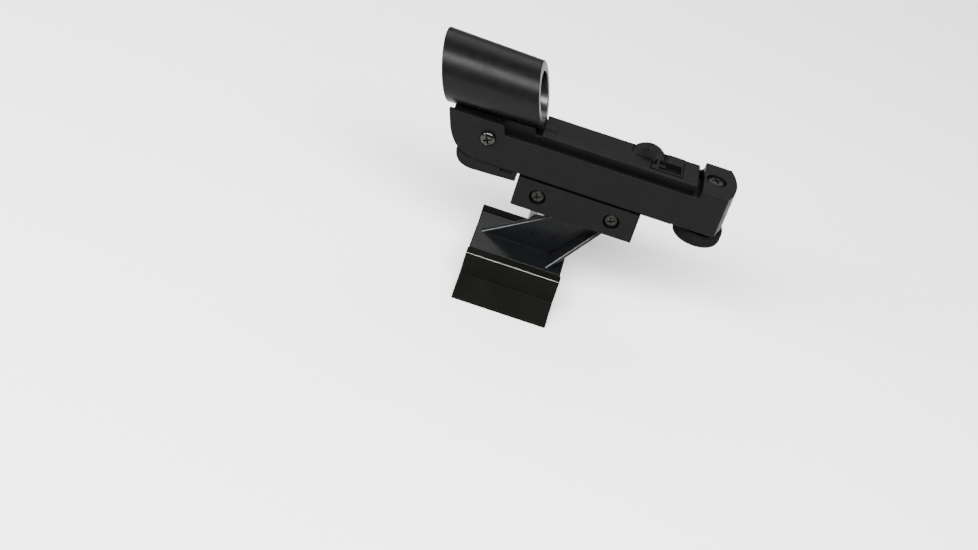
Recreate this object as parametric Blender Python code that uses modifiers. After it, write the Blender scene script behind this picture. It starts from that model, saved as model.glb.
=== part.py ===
"""Red-dot finder scope with its slide-in foot and the shoe that carries it, in metres, +Z up.

X runs along the sight line, rearwards to the eye; Y runs across; the origin is the middle of the
shoe's underside, where it meets the crown of a telescope tube. The eye looks forwards, along -X.
"""

import math

import bmesh
import bpy
from mathutils import Matrix, Vector

# Gaps
GAP = 0.0003            # between pieces that touch
RUN = 0.0004            # round a turning shaft

# Shoe and foot
TUBE_RADIUS = 0.057     # of the telescope tube that the shoe fits
SHOE_LENGTH = 0.0417
SHOE_HALF = 0.0201
SKIRT_HALF = 0.0308
RAIL_TOP = 0.0095
CHANNEL_FLOOR = 0.0023
MOUTH_HALF = 0.0155
FLOOR_HALF = 0.0176
FOOT_LENGTH = 0.0403
FOOT_TOP_HALF = 0.0146
FOOT_BOTTOM_HALF = 0.0167
THUMB_X = 0.0052
THUMB_Z = 0.0054
SHOE_SCREW_X = 0.012

# Leg and bracket
WEB_HALF = 0.00155
LEG_TOP = 0.0340
BRACKET_FRONT = -0.00955
BRACKET_REAR = 0.04325
BRACKET_BOTTOM = 0.0343
BRACKET_TOP = 0.0482
CLAMP_SCREW_X = (0.00045, 0.03275)
CLAMP_SCREW_Z = 0.0413
LEG_SCREW_X = (0.0185, 0.0255)

# Base
BASE_HALF = 0.01225
BASE_INNER_HALF = 0.01045
BASE_BOTTOM = 0.0495
BASE_FLOOR = 0.0512
BASE_TOP = 0.0647
BASE_HIGH = 0.0687      # of the front cheeks and the rear block
BLOCK_FRONT = 0.06315
BLOCK_REAR = 0.0774
BLOCK_CEILING = 0.0654

# Arm and tube
ARM_HALF = 0.00885
NECK_HALF = 0.0075
ARM_BOTTOM = 0.0552
ARM_TOP = 0.06835
ARM_REAR = 0.06085
TUBE_Z = 0.0812
TUBE_FRONT_RADIUS = 0.0147
TUBE_REAR_RADIUS = 0.0135
TUBE_SPAN = (-0.0550, -0.0100)              # where those two radii are
TUBE_BORE = 0.0096
LENS_RADIUS = 0.0104
LENS_TILT = math.radians(4.5)

# Axes of the drives
PIVOT = Vector((-0.02625, 0.0, 0.0611))     # azimuth shaft, along Y
ALTITUDE_X = 0.06845                        # altitude shaft, along Z
NUT_Z = 0.0591
SHAFT_RADIUS = 0.0020
KNOB_RADIUS = 0.0105
AZIMUTH_KNOB_RADIUS = 0.0080
WHEEL = Vector((0.0388, 0.0, 0.06385))       # brightness wheel, along Y
WHEEL_RADIUS = 0.00805

# Battery
CELL_X = -0.0226
CELL_RADIUS = 0.0100
CELL_HEIGHT = 0.0032

FINE = 48
COARSE = 24

for obj in list(bpy.data.objects):
    bpy.data.objects.remove(obj, do_unlink=True)

PARTS = bpy.data.collections.new("finder_scope")
CUTTERS = bpy.data.collections.new("cutters")
bpy.context.scene.collection.children.link(PARTS)
bpy.context.scene.collection.children.link(CUTTERS)
CUTTERS.hide_render = True


def material(name, colour, roughness, metallic=0.0, transmission=0.0):
    made = bpy.data.materials.new(name)
    made.use_nodes = True
    shader = made.node_tree.nodes["Principled BSDF"]
    shader.inputs["Base Color"].default_value = (*colour, 1.0)
    shader.inputs["Roughness"].default_value = roughness
    shader.inputs["Metallic"].default_value = metallic
    shader.inputs["Transmission Weight"].default_value = transmission
    return made


MATTE = (0.022, 0.023, 0.023)
GLOSSY = (0.012, 0.012, 0.014)
LOOKS = {
    "matte_black": material("matte_black", MATTE, 0.55),
    "gloss_black": material("gloss_black", GLOSSY, 0.22),
    "shoe_black": material("shoe_black", (0.030, 0.030, 0.027), 0.60),
    "steel": material("steel", (0.55, 0.55, 0.53), 0.30, metallic=1.0),
    "dark_steel": material("dark_steel", (0.12, 0.12, 0.11), 0.35, metallic=1.0),
    "brass": material("brass", (0.72, 0.53, 0.25), 0.30, metallic=1.0),
    "glass": material("glass", (0.80, 0.55, 0.55), 0.03, transmission=0.9),
    "led_red": material("led_red", (0.12, 0.02, 0.02), 0.15, transmission=0.3),
    "board_green": material("board_green", (0.02, 0.12, 0.05), 0.45),
}


def add(name, mesh, look, collection=PARTS):
    obj = bpy.data.objects.new(name, mesh)
    collection.objects.link(obj)
    if look:
        mesh.materials.append(LOOKS[look])
    if collection is CUTTERS:
        obj.hide_render = True
        obj.display_type = "WIRE"
    return obj


def box(name, low, high, look=None):
    """A box between two corners, with its origin at its middle."""
    low, high = Vector(low), Vector(high)
    bm = bmesh.new()
    bmesh.ops.create_cube(bm, size=1.0)
    bmesh.ops.scale(bm, vec=high - low, verts=bm.verts)
    mesh = bpy.data.meshes.new(name)
    bm.to_mesh(mesh)
    bm.free()
    obj = add(name, mesh, look, PARTS if look else CUTTERS)
    obj.location = (low + high) / 2
    return obj


AXES = {
    "x": Matrix.Rotation(math.radians(90), 4, "Y"),
    "y": Matrix.Rotation(math.radians(-90), 4, "X"),
    "z": Matrix.Identity(4),
}


def rod(name, radius, start, length, axis, look=None, segments=COARSE, end_radius=None):
    """A cylinder or cone from start, running length along +axis."""
    bm = bmesh.new()
    bmesh.ops.create_cone(bm, cap_ends=True, segments=segments, radius1=radius,
                          radius2=radius if end_radius is None else end_radius, depth=length)
    bmesh.ops.translate(bm, verts=bm.verts, vec=(0, 0, length / 2))
    mesh = bpy.data.meshes.new(name)
    bm.to_mesh(mesh)
    bm.free()
    mesh.shade_smooth()
    mesh.set_sharp_from_angle(angle=math.radians(35))
    obj = add(name, mesh, look, PARTS if look else CUTTERS)
    obj.rotation_euler = AXES[axis].to_euler()
    obj.location = start
    return obj


def turned(name, profile, axis, place, look=None, segments=FINE):
    """A profile of (radius, height) points, from the top down its outer side, turned about axis at place."""
    bm = bmesh.new()
    verts = [bm.verts.new((r, 0, h)) for r, h in profile]
    for a, b in zip(verts, verts[1:]):
        bm.edges.new((a, b))
    mesh = bpy.data.meshes.new(name)
    bm.to_mesh(mesh)
    bm.free()
    obj = add(name, mesh, look, PARTS if look else CUTTERS)
    screw = obj.modifiers.new("turn", "SCREW")
    screw.steps = segments
    screw.render_steps = segments
    screw.use_merge_vertices = True
    screw.merge_threshold = 0.00001
    obj.rotation_euler = AXES[axis].to_euler()
    obj.location = place
    return obj


PLANES = {
    "xz": Matrix(((1, 0, 0, 0), (0, 0, -1, 0), (0, 1, 0, 0), (0, 0, 0, 1))),
    "yz": Matrix(((0, 0, 1, 0), (1, 0, 0, 0), (0, 1, 0, 0), (0, 0, 0, 1))),
    "xy": Matrix.Identity(4),
}


def mesh_of(curve_object):
    """The object's curve as a closed mesh, its caps welded on."""
    graph = bpy.context.evaluated_depsgraph_get()
    mesh = bpy.data.meshes.new_from_object(curve_object.evaluated_get(graph))
    bm = bmesh.new()
    bm.from_mesh(mesh)
    bmesh.ops.remove_doubles(bm, verts=bm.verts, dist=0.000001)
    bm.to_mesh(mesh)
    bm.free()
    bpy.data.objects.remove(curve_object, do_unlink=True)
    return mesh


def slab(name, outline, plane, low, high, look=None, place=None):
    """A flat outline in a plane, extruded square to it from low to high; place overrides its pose."""
    curve = bpy.data.curves.new(name, "CURVE")
    curve.dimensions = "2D"
    curve.fill_mode = "BOTH"
    curve.extrude = (high - low) / 2
    spline = curve.splines.new("POLY")
    spline.points.add(len(outline) - 1)
    for point, (u, v) in zip(spline.points, outline):
        point.co = (u, v, 0, 1)
    spline.use_cyclic_u = True
    guide = bpy.data.objects.new(name, curve)
    bpy.context.scene.collection.objects.link(guide)
    mesh = mesh_of(guide)
    mesh.name = name
    obj = add(name, mesh, look, PARTS if look else CUTTERS)
    if place is None:
        # Local Z runs towards -Y in the xz plane, so the middle height changes sign there.
        middle = (low + high) / 2
        lift = -middle if plane == "xz" else middle
        place = PLANES[plane] @ Matrix.Translation((0, 0, lift))
    obj.matrix_world = place
    return obj


def combine(target, tool, operation):
    modifier = target.modifiers.new(operation.lower(), "BOOLEAN")
    modifier.operation = operation
    modifier.object = tool
    modifier.solver = "EXACT"
    return target


def cut(target, *tools):
    for tool in tools:
        combine(target, tool, "DIFFERENCE")
    return target


def join(target, *tools):
    for tool in tools:
        combine(target, tool, "UNION")
    return target


def curve_points(start, control, end, count):
    """Points on the smooth bend from start to end that leans towards control, without start."""
    points = []
    for i in range(1, count + 1):
        t = i / count
        points.append(tuple((1 - t) ** 2 * a + 2 * t * (1 - t) * b + t * t * c
                            for a, b, c in zip(start, control, end)))
    return points


def knurled(name, radius, teeth, depth, plane, low, high, look):
    """A knob with straight ribs round its rim."""
    outline = []
    for i in range(2 * teeth):
        angle = math.pi * i / teeth
        r = radius if i % 2 else radius - depth
        outline.append((r * math.cos(angle), r * math.sin(angle)))
    return slab(name, outline, plane, low, high, look)


def hinge_at(obj, point):
    """Puts the object's origin at a point on its joint's axis, and leaves its shape where it is."""
    offset = obj.matrix_basis.inverted() @ Vector(point)
    obj.data.transform(Matrix.Translation(-offset))
    obj.matrix_basis = obj.matrix_basis @ Matrix.Translation(offset)


def shift(obj, offset):
    """Moves an object, so that its origin lands on its joint's axis."""
    obj.matrix_world = Matrix.Translation(offset) @ obj.matrix_world
    return obj


# Shoe -------------------------------------------------------------------------------------------

def crown_height(y):
    """Height of the shoe's hollow underside; its middle facet lies at zero."""
    facet = 0.5 * 2 * math.asin(SADDLE_HALF / TUBE_RADIUS) / SADDLE_FACETS
    return math.sqrt(TUBE_RADIUS ** 2 - y ** 2) - TUBE_RADIUS * math.cos(facet)


SADDLE_HALF = 0.0292
SADDLE_FACETS = 9


def make_shoe():
    reach = math.asin(SADDLE_HALF / TUBE_RADIUS)
    under = []
    for i in range(SADDLE_FACETS + 1):
        y = TUBE_RADIUS * math.sin(reach * (2 * i / SADDLE_FACETS - 1))
        under.append((y, crown_height(y)))
    land = under[0][1]
    skirt_top = land + 0.0014
    outline = [(-SKIRT_HALF, land)] + under + [(SKIRT_HALF, land)]
    half = [(SKIRT_HALF, skirt_top), (SHOE_HALF, -0.0019), (SHOE_HALF, RAIL_TOP),
            (MOUTH_HALF, RAIL_TOP), (FLOOR_HALF, CHANNEL_FLOOR)]
    outline += half + [(-y, z) for y, z in reversed(half)]
    end = SHOE_LENGTH / 2
    shoe = slab("shoe", outline, "yz", -end, end, "shoe_black")
    # The pocket for the clamp strip lies along the far rail's undercut face.
    pocket = box("strip_pocket", (-0.0076, -0.0013, -0.0027), (0.0076, 0.0013, 0.0027))
    pocket.rotation_euler = (STRIP_LEAN, 0, 0)
    pocket.location = (THUMB_X, STRIP_Y + 0.0003, THUMB_Z)
    hole = rod("thumb_hole", 0.0018 + RUN, (THUMB_X, 0.0165, THUMB_Z), 0.006, "y")
    cut(shoe, pocket, hole)
    for i, x in enumerate((-SHOE_SCREW_X, SHOE_SCREW_X)):
        sink = rod(f"shoe_sink_{i}", 0.0015 + RUN, (x, 0, CHANNEL_FLOOR - 0.0015), 0.0017, "z",
                   end_radius=0.0029 + RUN + 0.0002)
        drill = rod(f"shoe_drill_{i}", 0.0015 + RUN, (x, 0, -0.002), 0.006, "z")
        cut(shoe, sink, drill)


def make_shoe_screws():
    for name, x in (("shoe_screw_front", -SHOE_SCREW_X), ("shoe_screw_rear", SHOE_SCREW_X)):
        top = CHANNEL_FLOOR - GAP
        turned(name, [(0, top), (0.0027, top), (0.0015, top - 0.0012), (0.0015, -0.0045), (0, -0.0045)],
               "z", (x, 0, 0), "steel", COARSE)


STRIP_LEAN = math.atan2(FLOOR_HALF - MOUTH_HALF, RAIL_TOP - CHANNEL_FLOOR)
STRIP_Y = 0.01695


def make_clamp():
    strip = box("clamp_strip", (-0.0070, -0.0005, -0.0022), (0.0070, 0.0005, 0.0022), "brass")
    strip.rotation_euler = (STRIP_LEAN, 0, 0)
    strip.location = (THUMB_X, STRIP_Y, THUMB_Z)
    screw = knurled("thumbscrew", 0.0056, 22, 0.0004, "xz", 0.0245, 0.0330, "steel")
    shift(screw, (THUMB_X, 0, THUMB_Z))
    shank = rod("thumb_shank", 0.0018, (THUMB_X, 0.0186, THUMB_Z), 0.0070, "y")
    collar = rod("thumb_collar", 0.0034, (THUMB_X, 0.0230, THUMB_Z), 0.0025, "y")
    join(screw, collar, shank)


# Foot, leg and bracket --------------------------------------------------------------------------

LEG_FOOT_FRONT = -0.0181
LEG_FOOT_REAR = 0.01265
LEG_TOP_FRONT = 0.0179
LEG_TOP_REAR = 0.0328
FLANGE_THICK = 0.0015


def make_leg():
    end = FOOT_LENGTH / 2
    bottom = CHANNEL_FLOOR + RUN
    outline = [(-FOOT_BOTTOM_HALF, bottom), (FOOT_BOTTOM_HALF, bottom),
               (FOOT_TOP_HALF, RAIL_TOP), (-FOOT_TOP_HALF, RAIL_TOP)]
    leg = slab("bracket_leg", outline, "yz", -end, end, "gloss_black")
    web = slab("leg_web", [(LEG_FOOT_FRONT - 0.002, RAIL_TOP - 0.0015), (LEG_FOOT_REAR - 0.001, RAIL_TOP - 0.0015),
                           (LEG_TOP_REAR, LEG_TOP), (LEG_TOP_FRONT, LEG_TOP)], "xz", -WEB_HALF, WEB_HALF)
    # The rear flange leans with the web's rear edge and narrows upwards.
    lean = Vector((LEG_TOP_REAR - LEG_FOOT_REAR, 0, LEG_TOP - RAIL_TOP))
    rise = lean.normalized()
    side = Vector((0, 1, 0))
    normal = side.cross(rise)
    start = Vector((LEG_FOOT_REAR, 0, RAIL_TOP))
    middle = start + normal * (FLANGE_THICK / 2 - 0.0004)
    pose = Matrix((side, rise, normal)).transposed().to_4x4()
    pose.translation = middle
    drop = 0.0016
    height = lean.length - 0.0006
    flange = slab("leg_flange", [(-0.0136, -drop), (0.0136, -drop), (0.0034, height), (-0.0034, height)],
                  "xy", 0, FLANGE_THICK, place=pose)
    plate = box("leg_plate", (0.0120, -0.0070, LEG_TOP - 0.0024), (0.0370, 0.0070, LEG_TOP))
    join(leg, web, flange, plate)
    for i, x in enumerate(LEG_SCREW_X):
        cut(leg, rod(f"leg_tap_{i}", 0.0013 + GAP, (x, 0, LEG_TOP - 0.0060), 0.0080, "z"))


CHANNEL_Z = 0.0449


def make_bracket():
    outline = [(-BASE_HALF, BRACKET_BOTTOM), (BASE_HALF, BRACKET_BOTTOM), (BASE_HALF, 0.0361),
               (0.0078, 0.0361), (0.0078, CHANNEL_Z), (-0.0065, CHANNEL_Z), (-0.0049, BRACKET_TOP),
               (-BASE_HALF, BRACKET_TOP)]
    bracket = slab("clamp_bracket", outline, "yz", BRACKET_FRONT, BRACKET_REAR, "matte_black")
    jaw = slab("far_jaw", [(0.0082, 0.0365), (BASE_HALF, 0.0365), (BASE_HALF, BRACKET_TOP),
                           (0.0049, BRACKET_TOP), (0.0064, 0.0452), (0.0082, 0.0452)],
               "yz", BRACKET_FRONT, BRACKET_REAR, "matte_black")
    for i, x in enumerate(CLAMP_SCREW_X):
        bore = rod(f"clamp_bore_{i}", 0.0015 + RUN, (x, -0.0140, CLAMP_SCREW_Z), 0.0300, "y")
        sink = rod(f"clamp_sink_{i}", 0.0036, (x, -0.0140, CLAMP_SCREW_Z), 0.0039, "y")
        cut(bracket, sink, bore)
        cut(jaw, bore)
    for i, x in enumerate(LEG_SCREW_X):
        head = rod(f"leg_sink_{i}", 0.0027 + RUN, (x, 0, 0.0417), 0.0050, "z")
        drill = rod(f"leg_drill_{i}", 0.0013 + RUN, (x, 0, 0.0320), 0.0120, "z")
        cut(bracket, head, drill)


def phillips(name, place, axis, direction, head_radius, head_height, shank_radius, shank_length, look):
    """A domed cross-head screw; place is the middle of the head's seat, and the head points along direction."""
    top = head_height
    profile = [(0, top), (0.55 * head_radius, 0.92 * top), (head_radius, 0.35 * top), (head_radius, 0),
               (shank_radius, 0), (shank_radius, -shank_length), (0, -shank_length)]
    screw = turned(name, profile, axis, place, look, COARSE)
    if direction < 0:
        screw.rotation_euler = (AXES[axis] @ Matrix.Rotation(math.pi, 4, "X")).to_euler()
    arm = 0.62 * head_radius
    width = 0.12 * head_radius
    for i, (u, v) in enumerate(((arm, width), (width, arm))):
        slot = box(f"{name}_slot_{i}", (-u, -v, 0.45 * top), (u, v, 1.5 * top))
        slot.matrix_world = screw.matrix_basis @ slot.matrix_basis
        cut(screw, slot)
    return screw


def make_bracket_screws():
    for name, x in zip(("clamp_screw_front", "clamp_screw_rear"), CLAMP_SCREW_X):
        phillips(name, (x, -0.0104, CLAMP_SCREW_Z), "y", -1, 0.0032, 0.0015, 0.0015, 0.0220, "steel")
    for name, x in zip(("leg_screw_front", "leg_screw_rear"), LEG_SCREW_X):
        phillips(name, (x, 0, 0.0420), "z", 1, 0.0027, 0.0018, 0.0013, 0.0130, "dark_steel")


# Base -------------------------------------------------------------------------------------------

CHEEK_FRONT = -0.04495
NOSE_START = (-0.0427, 0.0612)
NOSE_CONTROL = (-0.0386, BASE_BOTTOM)
NOSE_END = (-0.0285, BASE_BOTTOM)
CHEEK_REAR = -0.0208


def base_outline():
    """Side view of the base, from the front cheek's top corner down and round."""
    corner = 0.0016
    outline = [(CHEEK_FRONT, BASE_HIGH), NOSE_START]
    outline += curve_points(NOSE_START, NOSE_CONTROL, NOSE_END, 5)
    outline += [(BLOCK_REAR + 0.001, BASE_BOTTOM), (BLOCK_REAR + 0.001, BASE_HIGH), (BLOCK_FRONT, BASE_HIGH)]
    outline += curve_points((BLOCK_FRONT, BASE_HIGH), (BLOCK_FRONT, BASE_TOP),
                            (BLOCK_FRONT - 2 * corner, BASE_TOP), 3)
    outline += [(CHEEK_REAR + 0.0008, BASE_TOP), (CHEEK_REAR, BASE_HIGH)]
    return outline


def base_plan():
    """Top view of the base: straight sides and a rounded rear end."""
    side_end = BLOCK_REAR - 0.0030
    outline = [(-0.050, -BASE_HALF), (side_end, -BASE_HALF)]
    outline += curve_points((side_end, -BASE_HALF), (2 * BLOCK_REAR - side_end, 0), (side_end, BASE_HALF), 8)
    outline += [(-0.050, BASE_HALF)]
    return outline


def make_base():
    base = slab("base_channel", base_outline(), "xz", -0.0135, 0.0135, "matte_black")
    plan = slab("base_plan", base_plan(), "xy", 0.040, 0.080)
    combine(base, plan, "INTERSECT")
    wall = 0.0018
    inner = [(NOSE_START[0] + wall - 0.0024, 0.0700), (NOSE_START[0] + wall, NOSE_START[1])]
    inner += curve_points((NOSE_START[0] + wall, NOSE_START[1]), (NOSE_CONTROL[0] + 0.0016, BASE_FLOOR),
                          (NOSE_END[0], BASE_FLOOR), 5)
    inner += [(BLOCK_FRONT, BASE_FLOOR), (BLOCK_FRONT, 0.0700)]
    cavity = slab("base_cavity", inner, "xz", -BASE_INNER_HALF, BASE_INNER_HALF)
    pocket = box("block_pocket", (BLOCK_FRONT - 0.001, -0.0102, BASE_FLOOR), (0.0730, 0.0102, BLOCK_CEILING))
    notch = box("front_notch", (-0.0500, -BASE_INNER_HALF, 0.0640), (-0.0400, BASE_INNER_HALF, 0.0700))
    cut(base, cavity, pocket, notch)
    # The dovetail track that the bracket grips.
    track = slab("base_track", [(-0.0036, BASE_BOTTOM + 0.0003), (-0.0060, 0.0454), (0.0060, 0.0454),
                                (0.0036, BASE_BOTTOM + 0.0003)], "yz", -0.0086, 0.0570)
    join(base, track)
    # Shaft holes: altitude from the floor to the counterbore on top, azimuth through both cheeks.
    floor_hole = rod("altitude_floor_hole", SHAFT_RADIUS + RUN, (ALTITUDE_X, 0, 0.0480), 0.0060, "z")
    roof_hole = rod("altitude_roof_hole", 0.0016, (ALTITUDE_X, 0, 0.0640), 0.0050, "z")
    sink = rod("altitude_sink", 0.0043, (ALTITUDE_X, 0, 0.0672), 0.0030, "z")
    near_hole = rod("azimuth_near_hole", 0.0016, (PIVOT.x, -0.0140, PIVOT.z), 0.0060, "y")
    far_hole = rod("azimuth_far_hole", SHAFT_RADIUS + RUN, (PIVOT.x, 0.0090, PIVOT.z), 0.0050, "y")
    cut(base, floor_hole, roof_hole, sink, near_hole, far_hole)
    for i, (low, high) in enumerate((((-0.0262, -0.0035), (-0.0190, 0.0035)), ((-0.0310, 0.0055), (-0.0240, 0.0090)))):
        cut(base, box(f"contact_pocket_{i}", (low[0], low[1], 0.0490), (high[0], high[1], 0.0505)))


def make_contacts():
    box("contact_minus", (-0.0259, -0.0032, 0.0497), (-0.0193, 0.0032, 0.0502), "brass")
    box("contact_plus", (-0.0307, 0.0058, 0.0497), (-0.0243, 0.0087, 0.0502), "brass")


def make_battery():
    """The cover's top follows the base's nose, a gap below it; the cell lies in a round tray."""
    start = (NOSE_CONTROL[0] + 0.0010, 0.0524)
    top = [start] + curve_points(start, (-0.0345, BASE_BOTTOM - GAP), (-0.0285, BASE_BOTTOM - GAP), 4)
    outline = [(-0.01055, 0.0454), (-0.01055, BASE_BOTTOM - GAP)] + top[::-1]
    outline += curve_points(start, (-0.0372, 0.0446), (-0.0290, 0.0446), 6)
    cover = slab("battery_cover", outline, "xz", -BASE_HALF, BASE_HALF, "matte_black")
    tray = rod("cell_tray", CELL_RADIUS + RUN, (CELL_X, 0, 0.0458), 0.0060, "z", segments=FINE)
    slot = box("finger_slot", (-0.0180, -0.0140, 0.0480), (-0.0125, -0.0112, 0.0500))
    cut(cover, tray, slot)
    bottom = 0.0460
    top_z = bottom + CELL_HEIGHT - 0.0001
    turned("coin_cell", [(0, top_z), (0.0088, top_z), (0.0089, top_z - 0.0004), (0.0097, top_z - 0.0004),
                         (CELL_RADIUS, top_z - 0.0007), (CELL_RADIUS, bottom + 0.0003),
                         (0.0097, bottom), (0, bottom)], "z", (CELL_X, 0, 0), "steel")


# Drives -----------------------------------------------------------------------------------------

KNOB_LOW = 0.0414
KNOB_HIGH = 0.0473


def make_altitude_drive():
    knob = knurled("altitude_knob", KNOB_RADIUS, 40, 0.0003, "xy", KNOB_LOW, KNOB_HIGH, "matte_black")
    shift(knob, (ALTITUDE_X, 0, 0))
    cut(knob, rod("knob_bore", SHAFT_RADIUS + GAP, (ALTITUDE_X, 0, KNOB_LOW + 0.0013), 0.0080, "z"))
    low, high = KNOB_LOW + 0.0016, 0.0652
    shaft = rod("altitude_shaft", SHAFT_RADIUS, (ALTITUDE_X, 0, low), high - low, "z", "steel")
    cut(shaft, rod("altitude_tap", 0.0013, (ALTITUDE_X, 0, 0.0615), 0.0060, "z"))
    phillips("altitude_retaining_screw", (ALTITUDE_X, 0, 0.0675), "z", 1, 0.0038, 0.0011, 0.0010, 0.0045,
             "dark_steel")
    nut = box("altitude_nut", (ALTITUDE_X - 0.0036, -0.0042, NUT_Z - 0.0022),
              (ALTITUDE_X + 0.0036, 0.0042, NUT_Z + 0.0022), "brass")
    join(nut, rod("nut_trunnion", 0.0015, (ALTITUDE_X, -0.0082, NUT_Z), 0.0164, "y"))
    cut(nut, rod("nut_bore", SHAFT_RADIUS + RUN, (ALTITUDE_X, 0, NUT_Z - 0.0040), 0.0080, "z"))


def make_altitude_spring():
    """A compression spring round the shaft, between the base's floor and the nut."""
    wire, radius, turns, steps = 0.0003, 0.0033, 3.25, 14
    low, high = BASE_FLOOR + wire + GAP, NUT_Z - 0.0022 - wire - GAP
    count = int(turns * steps)
    curve = bpy.data.curves.new("altitude_spring", "CURVE")
    curve.dimensions = "3D"
    curve.bevel_depth = wire
    curve.bevel_resolution = 2
    curve.use_fill_caps = True
    spline = curve.splines.new("POLY")
    spline.points.add(count)
    for i, point in enumerate(spline.points):
        angle = 2 * math.pi * i / steps
        height = low + (high - low) * i / count
        point.co = (radius * math.cos(angle), radius * math.sin(angle), height, 1)
    spring = bpy.data.objects.new("altitude_spring", curve)
    spring.location = (ALTITUDE_X, 0, 0)
    curve.materials.append(LOOKS["steel"])
    PARTS.objects.link(spring)


def make_azimuth_drive():
    turned("azimuth_washer", [(0.0024, 0.0004), (0.0042, 0.0004), (0.0042, 0), (0.0024, 0), (0.0024, 0.0004)],
           "y", (PIVOT.x, BASE_INNER_HALF - GAP - 0.0004, PIVOT.z), "steel", COARSE)
    knob = knurled("azimuth_knob", AZIMUTH_KNOB_RADIUS, 34, 0.0003, "xz", 0.0129, 0.0182, "matte_black")
    shift(knob, (PIVOT.x, 0, PIVOT.z))
    cut(knob, rod("azimuth_bore", SHAFT_RADIUS + GAP, (PIVOT.x, 0.0100, PIVOT.z), 0.0070, "y"))
    shaft = rod("azimuth_shaft", SHAFT_RADIUS, (PIVOT.x, -0.0101, PIVOT.z), 0.0268, "y", "steel")
    cut(shaft, rod("azimuth_tap", 0.0013, (PIVOT.x, -0.0120, PIVOT.z), 0.0070, "y"))
    phillips("azimuth_retaining_screw", (PIVOT.x, -0.01255, PIVOT.z), "y", -1, 0.0033, 0.0017, 0.0010, 0.0060,
             "steel")
    nut = rod("azimuth_nut", 0.0046, (PIVOT.x, -0.0045, PIVOT.z), 0.0090, "y", "brass")
    cut(nut, rod("azimuth_nut_bore", SHAFT_RADIUS + RUN, (PIVOT.x, -0.0060, PIVOT.z), 0.0120, "y"))


# Arm --------------------------------------------------------------------------------------------

TUBE_FRONT_TOP = -0.0552
TUBE_FRONT_SLOPE = 0.314
TUBE_REAR_TOP = -0.0147
TUBE_REAR_SLOPE = 0.334
LED_BLOCK = (0.0408, 0.0540)
WING_FRONT = 0.0468
LED_Y = -0.0006
LED_Z = 0.06705
WHEEL_NEAR = 0.0026
WHEEL_FAR = 0.0080


def tube_cone(name, clearance, look=None):
    """The lens tube's tapered outside, long enough for both slant cuts."""
    front, rear = -0.0600, 0.0000
    taper = (TUBE_FRONT_RADIUS - TUBE_REAR_RADIUS) / (TUBE_SPAN[1] - TUBE_SPAN[0])
    start = TUBE_FRONT_RADIUS + taper * (TUBE_SPAN[0] - front)
    return rod(name, start + clearance, (front, 0, TUBE_Z), rear - front, "x", look, FINE,
               end_radius=start + clearance - taper * (rear - front))


def make_arm():
    neck = slab("arm_neck", [(-0.0432, 0.0712), (-0.0432, 0.0656), (-0.0398, 0.0653), (-0.0364, 0.0590),
                             (-0.0320, ARM_BOTTOM), (0.0, ARM_BOTTOM), (0.0, 0.0668), (-0.0080, 0.0668),
                             (-0.0095, 0.0712)],
                "xz", -NECK_HALF, NECK_HALF)
    arm = box("arm", (-0.0055, -ARM_HALF, ARM_BOTTOM), (ARM_REAR, ARM_HALF, ARM_TOP), "matte_black")
    tongue = box("arm_tongue", (0.0560, -0.0082, ARM_BOTTOM), (0.0640, 0.0082, 0.0626))
    near_prong = box("near_prong", (0.0630, -0.0084, ARM_BOTTOM), (0.0720, -0.0050, 0.0626))
    far_prong = box("far_prong", (0.0630, 0.0050, ARM_BOTTOM), (0.0720, 0.0084, 0.0626))
    hinge_at(arm, PIVOT)
    join(arm, neck, tongue, near_prong, far_prong)
    hollow = box("arm_hollow", (0.0010, -0.0070, 0.0530), (0.0560, 0.0070, 0.0665))
    seat = tube_cone("tube_seat", GAP)
    barrel = rod("barrel_bore", 0.0050, (PIVOT.x, -0.0100, PIVOT.z), 0.0200, "y")
    trunnion = rod("trunnion_slot", 0.0020, (ALTITUDE_X, -0.0100, NUT_Z), 0.0200, "y")
    wheel_slot = rod("wheel_slot", WHEEL_RADIUS + RUN, (WHEEL.x, 0.0021, WHEEL.z), 0.0062, "y", segments=FINE)
    led_slot = box("led_slot", (LED_BLOCK[0] - GAP, -0.0066, 0.0630), (LED_BLOCK[1] + GAP, 0.0023, 0.0700))
    led_side = box("led_side", (WING_FRONT - GAP, 0.0010, 0.06695), (LED_BLOCK[1] + GAP, 0.0085, 0.0700))
    ramp = slab("beam_ramp", [(0.0325, ARM_TOP + 0.00005), (LED_BLOCK[0], 0.06735), (LED_BLOCK[0], 0.0700),
                              (0.0325, 0.0700)], "xz", -0.0063, 0.0023)
    screw_hole = rod("tube_screw_hole", 0.0016, (-0.0130, 0, 0.0500), 0.0300, "z")
    screw_sink = rod("tube_screw_sink", 0.0030, (-0.0130, 0, 0.0500), 0.0095, "z")
    cut(arm, hollow, seat, barrel, trunnion, wheel_slot, led_slot, led_side, ramp, screw_sink, screw_hole)
    floor = box("arm_floor", (0.0014, -0.0066, 0.0553), (0.0556, 0.0066, 0.0563), "matte_black")
    cut(floor, box("floor_slot", (WHEEL.x - 0.0090, 0.0019, 0.0540), (WHEEL.x + 0.0090, 0.0100, 0.0570)))


def end_cutter(name, top, slope, forwards):
    """A block whose face is the slant plane x = top + slope * (height below the tube's crown)."""
    crown, foot = 0.0990, 0.0630
    reach = -0.03 if forwards else 0.03
    upper = top - slope * (crown - TUBE_Z - TUBE_FRONT_RADIUS)
    lower = upper + slope * (crown - foot)
    return slab(name, [(upper, crown), (lower, foot), (lower + reach, foot), (upper + reach, crown)],
                "xz", -0.0200, 0.0200)


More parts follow.
